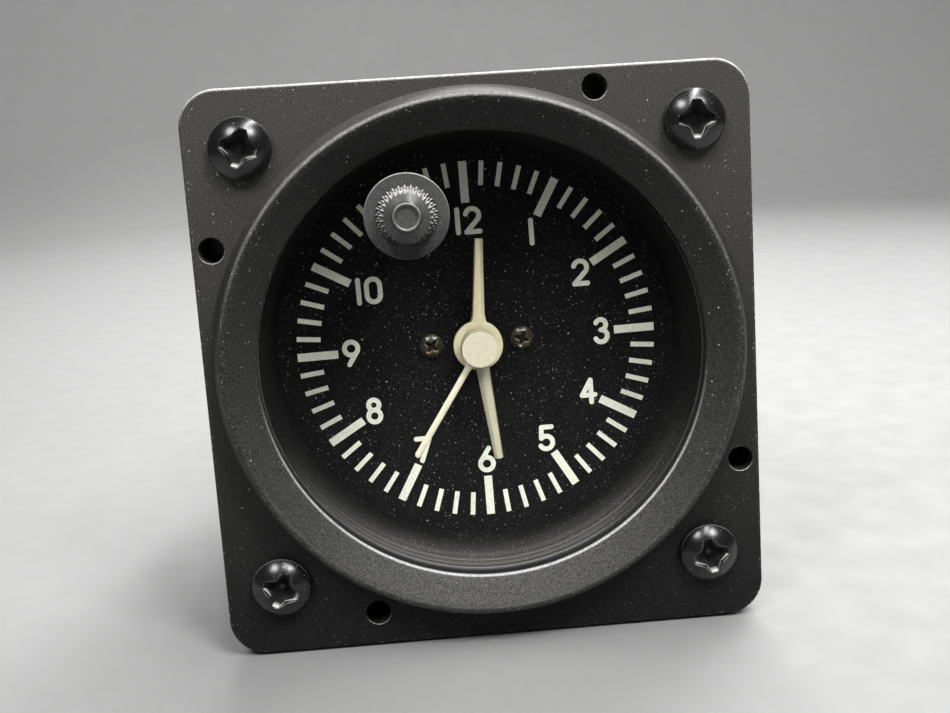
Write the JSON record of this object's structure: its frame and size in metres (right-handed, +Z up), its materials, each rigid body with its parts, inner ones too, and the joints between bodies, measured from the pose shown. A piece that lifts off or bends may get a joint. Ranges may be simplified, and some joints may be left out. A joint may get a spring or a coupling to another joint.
{
  "type": "aircraft panel clock",
  "caption": "Square-flanged aircraft panel clock with round case, black dial, ivory hands, dished bezel and a push-to-set knob through the glass.",
  "frame": {"origin": "on the clock's axis, at the back face of the flange, in the middle of the four mounting screws", "axes": "+Z up past 12 o'clock, +X to 3 o'clock as seen from the front, +Y from the dial towards the rear cover"},
  "size_m": [0.0594, 0.0603, 0.061],
  "materials": {
    "case_black": "black crackle paint, slightly worn",
    "knob_black": "satin black, knurled",
    "glass": "clear",
    "rubber": "matt",
    "dial_black": "matt black",
    "mark_paint": "matt off-white paint",
    "hand_ivory": "satin ivory paint",
    "screw_black": "black oxide, worn bright in the recess",
    "screw_bronze": "dark bronze",
    "steel": "polished",
    "brass": "satin",
    "magnet": "ground",
    "soft_iron": "dull",
    "bobbin_plastic": "moulded",
    "copper": "enamelled wire",
    "board_green": "solder resist",
    "chip_black": "moulded",
    "crystal_can": "bright",
    "capacitor_sleeve": "shrink sleeve",
    "insulator_brown": "phenolic",
    "lead_red": "insulated wire"
  },
  "bodies": {
    "clock_body": {"case": "case_black", "bezel_ring": "case_black", "rear_cover": "case_black", "lens": "glass", "lens_gasket": "rubber", "cover_gasket": "rubber", "shaft_o_ring": "rubber", "dial": "dial_black", "dial_sleeve": "dial_black", "dial_marks": "mark_paint", "mounting_screws": "screw_black", "dial_screws": "screw_bronze", "set_spring": "steel", "shaft_bush": "steel", "plate_pillars": "steel", "pillar_screws": "steel", "motion_post": "steel", "coil_pins": "steel", "stator_screws": "steel", "board_screws": "steel", "cover_screws": "steel", "bush_nut": "brass", "front_plate": "brass", "rear_plate": "brass", "stator_posts": "brass", "board_standoffs": "brass", "terminal_studs": "brass", "terminal_nuts": "brass", "stator": "soft_iron", "coil_core": "soft_iron", "coil_bobbin": "bobbin_plastic", "coil_winding": "copper", "circuit_board": "board_green", "driver_chip": "chip_black", "regulator": "chip_black", "quartz_crystal": "crystal_can", "capacitor": "capacitor_sleeve", "terminal_insulators": "insulator_brown", "terminal_leads": "lead_red"},
    "seconds": {"seconds_arbor": "steel", "seconds_wheel": "brass", "seconds_hand": "hand_ivory"},
    "minute": {"cannon_pinion": "steel", "minute_hand": "hand_ivory"},
    "hour": {"hour_wheel": "brass", "hour_hand": "hand_ivory"},
    "motion": {"motion_wheel": "brass"},
    "centre": {"centre_wheel": "brass"},
    "third": {"third_pinion": "steel", "third_wheel": "brass"},
    "intermediate": {"intermediate_pinion": "steel", "intermediate_wheel": "brass"},
    "rotor": {"rotor_pinion": "steel", "rotor_magnet": "magnet"},
    "set_plunger": {"spring_washer": "steel"},
    "set_spindle": {"set_knob": "knob_black", "set_shaft": "steel", "set_pinion": "brass"}
  },
  "joints": [
    {"name": "seconds_turn", "type": "hinge", "parent": "clock_body", "child": "seconds", "pos_m": [0, 0, 0], "axis": [0, 1, 0], "continuous": true},
    {"name": "third_turn", "type": "hinge", "parent": "clock_body", "child": "third", "pos_m": [0, 0, -0.0108], "axis": [0, 1, 0], "continuous": true},
    {"name": "centre_turn", "type": "hinge", "parent": "clock_body", "child": "centre", "pos_m": [0, 0, 0], "axis": [0, 1, 0], "continuous": true},
    {"name": "intermediate_turn", "type": "hinge", "parent": "clock_body", "child": "intermediate", "pos_m": [0.00957, 0, 0.00525], "axis": [0, 1, 0], "continuous": true},
    {"name": "rotor_turn", "type": "hinge", "parent": "clock_body", "child": "rotor", "pos_m": [0.0145, 0, 0], "axis": [0, 1, 0], "continuous": true},
    {"name": "minute_turn", "type": "hinge", "parent": "clock_body", "child": "minute", "pos_m": [0, 0, 0], "axis": [0, 1, 0], "continuous": true},
    {"name": "motion_turn", "type": "hinge", "parent": "clock_body", "child": "motion", "pos_m": [-0.00662, 0, 0.0061], "axis": [0, 1, 0], "continuous": true},
    {"name": "hour_turn", "type": "hinge", "parent": "clock_body", "child": "hour", "pos_m": [0, 0, 0], "axis": [0, 1, 0], "continuous": true},
    {"name": "knob_push", "type": "slide", "parent": "clock_body", "child": "set_plunger", "axis": [0, 1, 0], "range_m": [0, 0.002], "stiffness_N_per_m": 150, "springref_m": -0.003, "deforming": ["set_spring"]},
    {"name": "knob_turn", "type": "hinge", "parent": "set_plunger", "child": "set_spindle", "pos_m": [-0.00705, 0, 0.01569], "axis": [0, 1, 0], "continuous": true}
  ],
  "couplings": [
    {"joint": "third_turn", "follows": "seconds_turn", "ratio": -0.125},
    {"joint": "centre_turn", "follows": "seconds_turn", "ratio": 0.016667},
    {"joint": "intermediate_turn", "follows": "seconds_turn", "ratio": -6},
    {"joint": "rotor_turn", "follows": "seconds_turn", "ratio": 30},
    {"joint": "motion_turn", "follows": "minute_turn", "ratio": -0.25},
    {"joint": "hour_turn", "follows": "minute_turn", "ratio": 0.083333}
  ]
}
